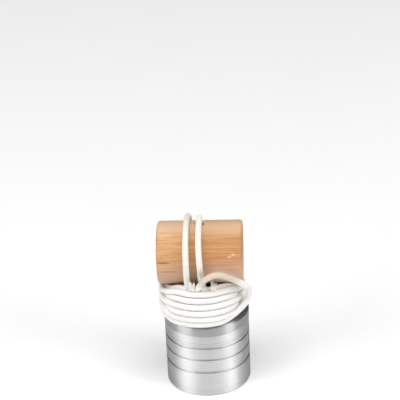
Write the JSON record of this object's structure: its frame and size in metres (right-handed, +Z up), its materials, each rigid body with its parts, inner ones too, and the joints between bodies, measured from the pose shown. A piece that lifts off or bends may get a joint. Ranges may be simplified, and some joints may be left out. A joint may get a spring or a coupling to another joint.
{
  "type": "wall plumb bob with gauge block",
  "caption": "Cylindrical steel plumb bob with turned grooves, a wooden gauge block about as long as the weight is wide, and a braided cord wound round its neck.",
  "frame": {"origin": "centre of the weight's flat base", "axes": "+Z up along the weight's axis, +X along the gauge block apart from the small turn that it lies at on its cord, -Y towards the side where the cord's end is tucked in"},
  "size_m": [0.0431, 0.042, 0.0846],
  "materials": {
    "weight_steel": "satin turned, with a ground gauge band",
    "cap_steel": "bright turned, fluted edge",
    "block_wood": "sanded, thin clear oil",
    "cord": "braided nylon"
  },
  "bodies": {
    "bob": {"bob_body": "weight_steel"},
    "line": {"stopper_knot": "cord", "cord_riser": "cord", "cord_coil": "cord", "cord_arc": "cord", "cord_end": "cord"},
    "cap": {"top_cap": "cap_steel"},
    "block": {"gauge_block": "block_wood", "cord_right_strand": "cord", "cord_left_strand": "cord"}
  },
  "joints": [
    {"name": "cap_lift", "type": "slide", "parent": "bob", "child": "line", "axis": [0, 0, 1], "range_m": [0, 0.0091]},
    {"name": "cap_turn", "type": "hinge", "parent": "line", "child": "cap", "pos_m": [0, 0, 0.0448], "axis": [0, 0, 1], "range_deg": [0, 2160]},
    {"name": "block_slide", "type": "slide", "parent": "line", "child": "block", "axis": [0, 0, 1], "range_m": [0, 0.008]}
  ],
  "couplings": [
    {"joint": "cap_lift", "follows": "cap_turn", "m_per_rad": 0.00023873}
  ]
}
